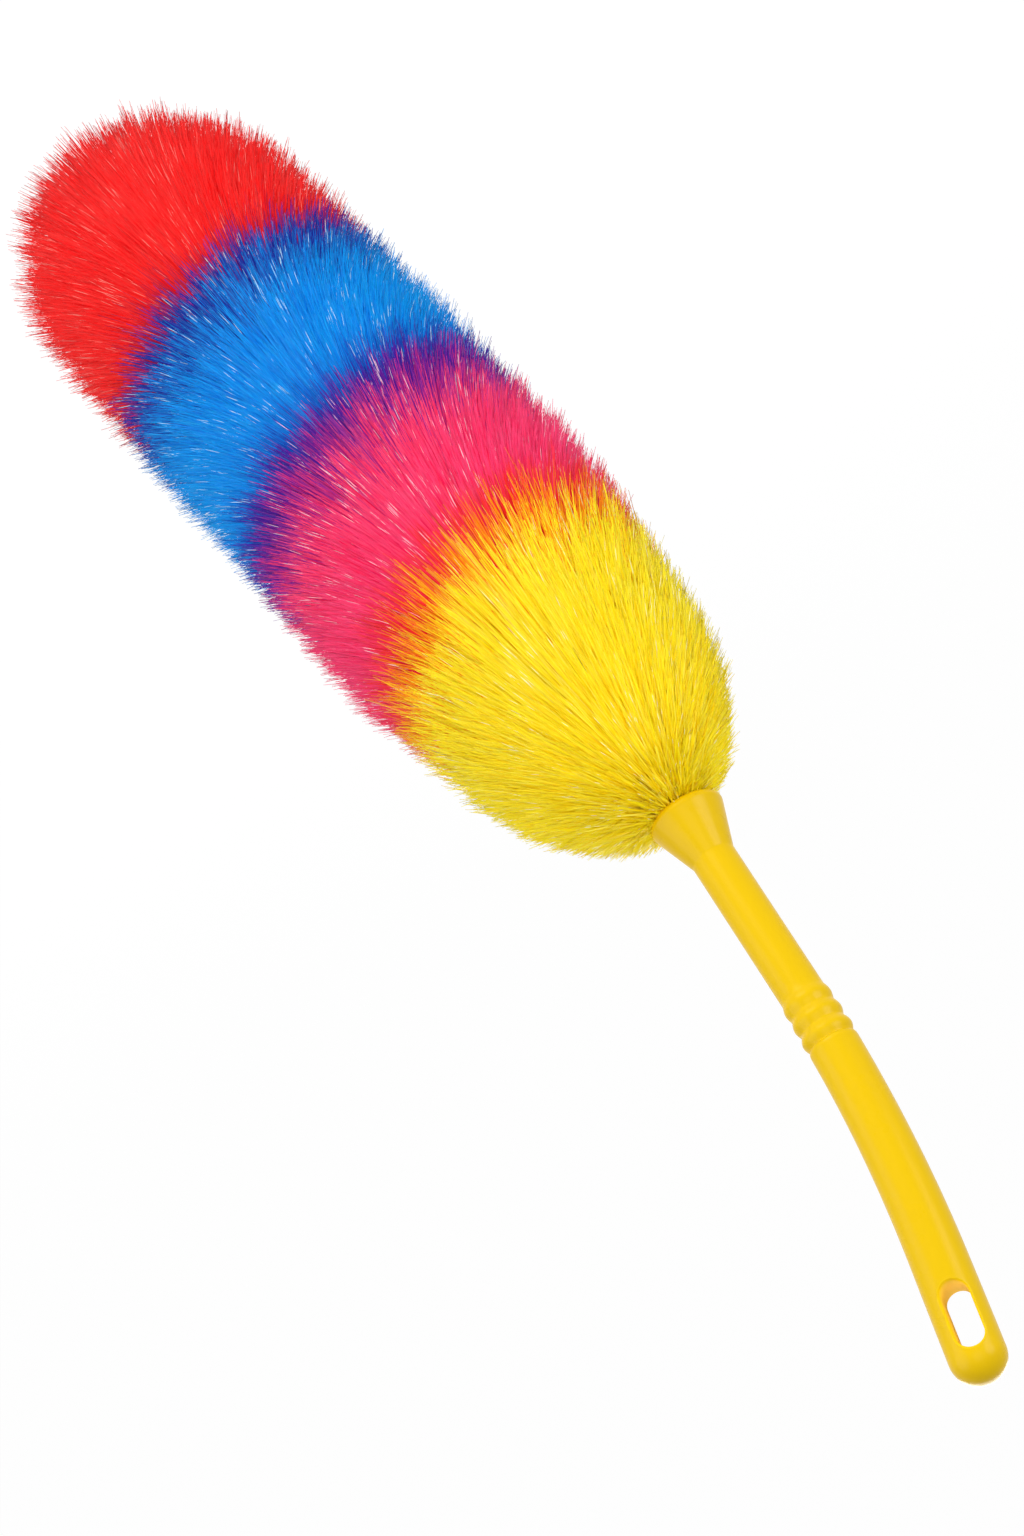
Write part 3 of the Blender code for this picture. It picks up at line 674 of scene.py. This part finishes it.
# shares are of a strand's length, tints run from 0 (deep) to 1 (pale), and each amount is
# how much of a colour is mixed in
fibreSettings = {
    "colourNames": ("Root", "Body", "Tip", "Pale", "Glint", "Through", "Under"),
    # along a strand: where the lighter tip colour, painted light, comes in, and how much
    "tipShares": (0.78, 1.0),
    "tipAmount": 0.7,
    "paleTints": (0.6, 1.0),
    "paleAmount": 0.5,
    "deepTints": (0.45, 0.0),
    "deepAmount": 0.45,
    "throughShares": (0.35, 0.75),
    "throughGain": 1.5,
    "throughAmount": 0.95,
    "underGain": 1.3,
    "underAmount": 0.9,
    # the few strands, and the stretch near their ends, that get a painted glint
    "glintTints": (0.9, 0.95),
    "glintShares": (0.91, 0.93, 0.97, 0.99),
    "glintAmount": 0.95,
    "roughness": (0.42, 0.22),  # of the deepest and the palest tint
    "refraction": 1.49,
    "gloss": 0.12,
    "passing": 0.96,
}


def fibreColours():
    # Colour along a strand, with painted shade and light: darker towards the root, lighter at the tip,
    # painted light through the next section's strands, painted shade under the last one's tips and a
    # painted glint on a few. The strand's own map gives how far the next colour shows through it
    # (across), its tint (eight bands up) and the place along it (in a band).
    s = fibreSettings
    group = bpy.data.node_groups.new("fibreColours", "ShaderNodeTree")
    for name in s["colourNames"]:
        group.interface.new_socket(name, in_out="INPUT", socket_type="NodeSocketColor")
    for name in ("Across", "Up", "Body From", "Body To"):
        group.interface.new_socket(name, in_out="INPUT", socket_type="NodeSocketFloat")
    group.interface.new_socket("Colour", in_out="OUTPUT", socket_type="NodeSocketColor")
    group.interface.new_socket("Roughness", in_out="OUTPUT", socket_type="NodeSocketFloat")
    given = group.nodes.new("NodeGroupInput")
    across = Flow(group, given.outputs["Across"])
    up = Flow(group, given.outputs["Up"]) * strandMap["bands"]
    band = up.floor()
    bandLength = 1.0 - 2.0 * strandMap["margin"]
    share = ((up - band - strandMap["margin"]) / bandLength).bounded(0.0, 1.0)
    tint = band / (strandMap["bands"] - 1.0)

    def smooth(value, low, high):
        node = addNode(group, "ShaderNodeMapRange", {"interpolation_type": "SMOOTHSTEP"}, Value=value)
        setInput(group, node.inputs["From Min"], low)
        setInput(group, node.inputs["From Max"], high)
        return Flow(group, node.outputs["Result"])

    def blend(amount, colour, other):
        node = addNode(group, "ShaderNodeMix", {"data_type": "RGBA"})
        setInput(group, node.inputs[0], amount)
        setInput(group, node.inputs[6], colour)
        setInput(group, node.inputs[7], other)
        return Flow(group, node.outputs[2])

    def taken(name):
        return Flow(group, given.outputs[name])

    # painted shade and light: each strand is darker towards its root, deep in the pile, and lighter at its
    # tip
    colour = blend(smooth(share, taken("Body From"), taken("Body To")), taken("Root"), taken("Body"))
    colour = blend(smooth(share, *s["tipShares"]) * s["tipAmount"], colour, taken("Tip"))
    # random tone of each strand, its tuft and patch, with painted highlight streaks on the palest tints and
    # painted shade on the deepest
    colour = blend(smooth(tint, *s["paleTints"]) * s["paleAmount"], colour, taken("Pale"))
    colour = blend(smooth(tint, *s["deepTints"]) * s["deepAmount"], colour, taken("Root"))
    # painted light and shade at the seams: near its tip a strand takes the colour of light through the next
    # section's strands, and near the last section it takes painted shade under that section's tips
    ahead = (((across - 0.5) * 2.0).bounded(0.0, 1.0) * s["throughGain"]).bounded(0.0, 1.0)
    behind = (((0.5 - across) * 2.0).bounded(0.0, 1.0) * s["underGain"]).bounded(0.0, 1.0)
    ahead = ahead * smooth(share, *s["throughShares"])
    colour = blend(ahead * s["throughAmount"], colour, taken("Through"))
    colour = blend(behind * s["underAmount"], colour, taken("Under"))
    start, full, fading, end = s["glintShares"]  # a painted glint near the end of a few strands
    paintedGlint = smooth(tint, *s["glintTints"]) * smooth(share, start, full) * smooth(share, end, fading)
    colour = blend(paintedGlint * s["glintAmount"], colour, taken("Glint"))
    output = group.nodes.new("NodeGroupOutput")
    group.links.new(colour.socket, output.inputs["Colour"])
    deepest, palest = s["roughness"]
    group.links.new((deepest - tint * (deepest - palest)).socket, output.inputs["Roughness"])
    return group


def fibreMaterial(name, group, colours, bodyFrom, bodyTo):
    material, tree, shader = newMaterial(name)
    place = tree.nodes.new("ShaderNodeUVMap")
    place.uv_map = "OFBake"
    parts = tree.nodes.new("ShaderNodeSeparateXYZ")
    tree.links.new(place.outputs[0], parts.inputs[0])
    tinted = tree.nodes.new("ShaderNodeGroup")
    tinted.node_tree = group
    for socketName in fibreSettings["colourNames"]:
        tinted.inputs[socketName].default_value = (*colours[socketName], 1)
    tinted.inputs["Body From"].default_value = bodyFrom
    tinted.inputs["Body To"].default_value = bodyTo
    tree.links.new(parts.outputs["X"], tinted.inputs["Across"])
    tree.links.new(parts.outputs["Y"], tinted.inputs["Up"])
    tree.links.new(tinted.outputs["Colour"], shader.inputs["Base Color"])
    tree.links.new(tinted.outputs["Roughness"], shader.inputs["Roughness"])
    shader.inputs["IOR"].default_value = fibreSettings["refraction"]
    shader.inputs["Specular IOR Level"].default_value = fibreSettings["gloss"]
    # part of a lamp's light goes on through a strand, as it does through clear plastic
    passing = tree.nodes.new("ShaderNodeBsdfTransparent")
    passing.inputs["Color"].default_value = (*colours["Glow"], 1)
    path = tree.nodes.new("ShaderNodeLightPath")
    mixed = tree.nodes.new("ShaderNodeMixShader")
    passed = Flow(tree, path.outputs["Is Shadow Ray"]) * fibreSettings["passing"]
    tree.links.new(passed.socket, mixed.inputs[0])
    tree.links.new(shader.outputs[0], mixed.inputs[1])
    tree.links.new(passing.outputs[0], mixed.inputs[2])
    tree.links.new(mixed.outputs[0], tree.nodes["Material Output"].inputs["Surface"])
    return material


def linear(red, green, blue):
    # colours are noted as they look on screen, from 0 to 255
    values = [value / 255 for value in (red, green, blue)]
    return tuple(v / 12.92 if v <= 0.04045 else ((v + 0.055) / 1.055) ** 2.4 for v in values)


# how far each seam leans to one side, in mm, from the cup to the tip
seamLeans = ((0, 0, 0), (-7, -16, 0), (-6, -3, 0), (-2, -1, 0), (5, 0, 0))

# In each section: where its tips lie (mm from the cup's mouth), over how many mm the next
# colour is painted in as light through its strands and the last one as shade under its tips,
# and the shares of a strand's length over which its root colour turns to its body colour.
# The darker Root colour is painted shade deep in the pile, Tip is painted light, Through is
# painted light through the next section, Under is painted shade and Glint a painted glint.
sectionSettings = {
    "yellow": {
        "tips": (0, 114), "through": 18, "under": 1, "body": (0.05, 0.55),
        "colours": {"Root": linear(252, 198, 0), "Body": linear(255, 234, 10),
                    "Tip": linear(255, 238, 44), "Pale": linear(255, 243, 110),
                    "Through": linear(250, 130, 8), "Under": linear(240, 190, 0),
                    "Glint": linear(255, 250, 190), "Glow": (1.0, 0.89, 0.4)},
        "strands": {"Bow Low": -0.03, "Bow High": 0.04, "Turn Spread": 0.06, "Root Spread": 6 * mm},
    },
    "pink": {
        "tips": (114, 215), "through": 35, "under": 12, "body": (0.3, 0.9),
        "colours": {"Root": linear(240, 0, 70), "Body": linear(255, 20, 95),
                    "Tip": linear(252, 80, 130), "Pale": linear(255, 100, 145),
                    "Through": linear(42, 16, 156), "Under": linear(244, 50, 30),
                    "Glint": linear(255, 215, 228), "Glow": (1.0, 0.75, 0.85)},
        "strands": {"Bow Low": -0.09, "Bow High": 0.02, "Turn Spread": 0.16, "Root Spread": 11 * mm},
    },
    "blue": {
        "tips": (215, 310), "through": 34, "under": 14, "body": (0.45, 0.95),
        "colours": {"Root": linear(0, 96, 206), "Body": linear(0, 144, 236),
                    "Tip": linear(0, 160, 242), "Pale": linear(40, 185, 250),
                    "Through": linear(34, 22, 150), "Under": linear(20, 40, 170),
                    "Glint": linear(205, 240, 255), "Glow": (0.65, 0.9, 1.0)},
        "strands": {"Bow Low": -0.16, "Bow High": 0.0, "Turn Spread": 0.24, "Root Spread": 14 * mm},
    },
    "red": {
        "tips": (310, 434), "through": 4, "under": 12, "body": (0.4, 0.95),
        "colours": {"Root": linear(240, 0, 4), "Body": linear(255, 4, 8),
                    "Tip": linear(252, 50, 46), "Pale": linear(255, 84, 76),
                    "Through": linear(250, 50, 48), "Under": linear(150, 10, 70),
                    "Glint": linear(255, 140, 130), "Glow": (1.0, 0.72, 0.72)},
        "strands": {"Bow Low": -0.18, "Bow High": -0.02, "Turn Spread": 0.3, "Root Spread": 15 * mm},
    },
}

# a long coat of tufted strands over a short and denser one
coatSettings = {
    "long": {"Length Share": 1.0, "Length Spread": 0.09, "Tuft Size": 6 * mm, "Tuft Pull": 0.9,
             "Tuft Spread": 0.045, "Strand Width": 0.76 * mm},
    "short": {"Length Share": 0.94, "Length Spread": 0.14, "Tuft Size": 6 * mm, "Tuft Pull": 0.5,
              "Tuft Spread": 0.04, "Strand Width": 0.76 * mm},
}


def headAxes():
    # the head's across, side and along directions, from where it starts in the cup's mouth
    s = handleSettings
    lip = handleLine(s["gripLength"] + s["ringCount"] * s["ringPitch"] + s["neckLength"] + s["cupLength"])[0]
    along, side = axesAt(headTilt)
    start = lip + Vector((0, 0, headCornerInset)) + along * headCornerInset
    turned = Matrix((side, Vector((0, 1, 0)), along)).transposed().to_4x4()
    return Matrix.Translation(start) @ turned


# how much of a strand's shading comes from the coat, from itself and from chance
softSettings = {"coatShare": 0.84, "strandShare": 0.2, "chance": 0.26, "firstCentre": 45 * mm}


def softNormals(mesh, pointsPerStrand, seed):
    # a strand is lit partly as the fluffy coat around it is, with some chance tilt
    s = softSettings
    count = len(mesh.vertices)
    places = np.empty(count * 3, np.float32)
    own = np.empty(count * 3, np.float32)
    mesh.vertices.foreach_get("co", places)
    mesh.vertex_normals.foreach_get("vector", own)
    outward = places.reshape(-1, 3).copy()
    own = own.reshape(-1, 3)
    domeStart = headSettings["length"] - headSettings["domeLength"]
    outward[:, 2] -= np.clip(outward[:, 2], s["firstCentre"], domeStart)
    outward /= np.linalg.norm(outward, axis=1, keepdims=True)
    tilts = np.random.default_rng(seed).normal(size=(count // (3 * pointsPerStrand) + 1, 3))
    tilts = np.repeat(tilts, 3 * pointsPerStrand, axis=0)[:count]
    soft = outward * s["coatShare"] + own * s["strandShare"] + tilts * s["chance"]
    return soft / np.linalg.norm(soft, axis=1, keepdims=True)


def buildCoat(name, tree, sizes, values, placed):
    source = bpy.data.objects.new(name + "_source", bpy.data.meshes.new(name + "_source"))
    scene.collection.objects.link(source)
    modifier = source.modifiers.new("bristles", "NODES")
    modifier.node_group = tree
    for socketName, value in values.items():
        modifier[sizes[socketName]] = value
    evaluated = source.evaluated_get(bpy.context.evaluated_depsgraph_get())
    mesh = bpy.data.meshes.new_from_object(evaluated)
    source.modifiers.remove(modifier)
    bpy.data.objects.remove(source)
    lean = softNormals(mesh, values["Points Per Strand"], values["Seed"])
    mesh.transform(placed)
    if placed.determinant() < 0:
        mesh.flip_normals()
    lean = lean @ np.array(placed.to_3x3()).T
    mesh.normals_split_custom_set_from_vertices(lean.tolist())
    mesh.name = name
    return mesh


bristles, bristleSizes = bristleTree()
shades = fibreColours()
placed = headAxes()
for number, (colourName, section) in enumerate(sectionSettings.items()):
    material = fibreMaterial(colourName + "Fibres", shades, section["colours"], *section["body"])
    for coat, (coatName, coatValues) in enumerate(coatSettings.items()):
        curved = colourName == "yellow" and coatName == "long"
        values = {
            "Strands": headSettings["strands"][curved],
            "Points Per Strand": headSettings["strandPoints"][curved],
            "Seed": 100 * (2 * number + coat),
            "Tip Start": section["tips"][0] * mm,
            "Tip End": section["tips"][1] * mm,
            "Through Length": section["through"] * mm,
            "Under Length": section["under"] * mm,
            "Start Lean": [part * mm for part in seamLeans[number]],
            "End Lean": [part * mm for part in seamLeans[number + 1]],
            "Head Length": headSettings["length"],
            "Head Radius": headSettings["radius"],
            "Root Radius": headSettings["rootRadius"],
            "Seam Spread": headSettings["seamSpread"],
            "Tuft Reach": headSettings["tuftReach"],
            "Curl": headSettings["curl"],
            "Collar Share": headSettings["collarShare"] if colourName == "yellow" else 0.0,
            "Material": material,
            **section["strands"],
            **coatValues,
        }
        pieceName = f"fibres_{colourName}_{coatName}"
        mesh = buildCoat(pieceName, bristles, bristleSizes, values, placed)
        newPiece(pieceName, mesh, f"fibres_{colourName}")
        mesh.calc_loop_triangles()
        print(pieceName, len(mesh.loop_triangles), "triangles")


# Hidden pieces: the stem's wires, plug and cap keep their solids. For each: its material,
# colour, metal or not, and roughness.

hiddenSettings = {
    "stem_wire_a": ("galvanisedWire", (0.55, 0.56, 0.58), 1.0, 0.35),
    "stem_wire_b": ("galvanisedWire", (0.55, 0.56, 0.58), 1.0, 0.35),
    "stem_plug": ("plugPlastic", (0.80, 0.80, 0.77), 0.0, 0.5),
    "tip_cap": ("plugPlastic", (0.80, 0.80, 0.77), 0.0, 0.5),
}
mottleSettings = {"scale": 160, "darkest": 0.82}


def mottled(name, colour, metal, roughness):
    # a plain finish with a faint mottle, as on drawn wire or a hidden moulding
    material, tree, shader = newMaterial(name)
    shader.inputs["Metallic"].default_value = metal
    shader.inputs["Roughness"].default_value = roughness
    place = tree.nodes.new("ShaderNodeTexCoord")
    mottle = addNode(tree, "ShaderNodeTexNoise", Scale=mottleSettings["scale"])
    ramp = tree.nodes.new("ShaderNodeValToRGB")
    ramp.color_ramp.elements[0].color = (*(mottleSettings["darkest"] * part for part in colour), 1)
    ramp.color_ramp.elements[1].color = (*colour, 1)
    tree.links.new(place.outputs["Object"], mottle.inputs["Vector"])
    tree.links.new(mottle.outputs["Fac"], ramp.inputs["Fac"])
    tree.links.new(ramp.outputs["Color"], shader.inputs["Base Color"])
    return material


hiddenMaterials = {}
for node, (name, colour, metal, roughness) in hiddenSettings.items():
    if name not in hiddenMaterials:
        hiddenMaterials[name] = mottled(name, colour, metal, roughness)
    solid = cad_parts[node]
    solid.data.materials.clear()
    solid.data.materials.append(hiddenMaterials[name])
print("hidden pieces:", len(hiddenSettings))


# Studio: a pale floor well below the hanging duster, soft lamps and a white surround

studioSettings = {
    "floorHeight": -1.5,
    "floorSize": 40.0,
    "floorPaleness": 0.9,
    "floorRoughness": 0.9,
    "floorGlow": 1.025,
    "glowShare": 0.95,
    "worldStrength": 0.3,
    "lampTarget": (0.03, 0, -0.35),
    "lamps": (
        # place, size, power
        ((-1.6, -1.0, 0.2), 1.3, 22),
        ((1.5, -0.8, -0.2), 1.8, 18.5),
        ((-0.1, -1.6, 0.4), 1.2, 6.5),
        ((0.1, -1.2, -1.4), 1.2, 14.5),
        ((0.2, 1.6, 0.4), 1.6, 28),
    ),
}


def backgroundRays(tree):
    # 1 for the rays that see the floor or the surround, straight or in gloss or glass
    path = tree.nodes.new("ShaderNodeLightPath")
    seen = Flow(tree, path.outputs["Is Camera Ray"])
    for ray in ("Is Glossy Ray", "Is Transmission Ray"):
        seen = seen.math("MAXIMUM", Flow(tree, path.outputs[ray]))
    return seen


def buildFloor():
    s = studioSettings
    bm = bmesh.new()
    bmesh.ops.create_grid(bm, x_segments=1, y_segments=1, size=s["floorSize"] / 2)
    mesh = bpy.data.meshes.new("floor")
    bm.to_mesh(mesh)
    bm.free()
    mesh.transform(Matrix.Translation((0, 0, s["floorHeight"])))
    floor = bpy.data.objects.new("floor", mesh)
    scene.collection.objects.link(floor)
    material, tree, shader = newMaterial("paleFloor")
    shader.inputs["Base Color"].default_value = (*[s["floorPaleness"]] * 3, 1)
    shader.inputs["Roughness"].default_value = s["floorRoughness"]
    glow = tree.nodes.new("ShaderNodeEmission")
    glow.inputs["Strength"].default_value = s["floorGlow"]
    mixed = tree.nodes.new("ShaderNodeMixShader")
    tree.links.new((backgroundRays(tree) * s["glowShare"]).socket, mixed.inputs[0])
    tree.links.new(shader.outputs[0], mixed.inputs[1])
    tree.links.new(glow.outputs[0], mixed.inputs[2])
    tree.links.new(mixed.outputs[0], tree.nodes["Material Output"].inputs["Surface"])
    mesh.materials.append(material)


def buildWorld():
    world = bpy.data.worlds.new("studio")
    world.use_nodes = True
    scene.world = world
    tree = world.node_tree
    light = tree.nodes["Background"]
    light.inputs["Color"].default_value = (1, 1, 1, 1)
    plain = studioSettings["worldStrength"]
    tree.links.new((backgroundRays(tree) * (1.0 - plain) + plain).socket, light.inputs["Strength"])


def buildLamps():
    target = studioSettings["lampTarget"]
    for number, (place, size, power) in enumerate(studioSettings["lamps"]):
        data = bpy.data.lights.new(f"softbox{number}", "AREA")
        data.shape = "DISK"
        data.size = size
        data.energy = power
        lamp = bpy.data.objects.new(data.name, data)
        scene.collection.objects.link(lamp)
        facing = (Vector(target) - Vector(place)).to_track_quat("-Z", "Y")
        lamp.matrix_world = Matrix.Translation(place) @ facing.to_matrix().to_4x4()


# the photo's viewing angle
cameraSettings = {
    "place": (-0.0229, -1.0595, 0.2638),
    "right": (-0.8351, 0.2900, 0.4675),
    "up": (-0.5484, -0.3692, -0.7503),
    "lens": 70.3,
    "sensorWidth": 36,
    "farthest": 100,
}


def buildCamera():
    s = cameraSettings
    right = Vector(s["right"]).normalized()
    up = Vector(s["up"])
    back = right.cross(up).normalized()
    up = back.cross(right)
    data = bpy.data.cameras.new("camera")
    data.lens = s["lens"]
    data.sensor_width = s["sensorWidth"]
    data.clip_end = s["farthest"]
    camera = bpy.data.objects.new("camera", data)
    scene.collection.objects.link(camera)
    turned = Matrix((right, up, back)).transposed().to_4x4()
    camera.matrix_world = Matrix.Translation(s["place"]) @ turned
    scene.camera = camera


buildFloor()
buildWorld()
buildLamps()
buildCamera()
print("studio: floor,", len(studioSettings["lamps"]), "lamps and camera")
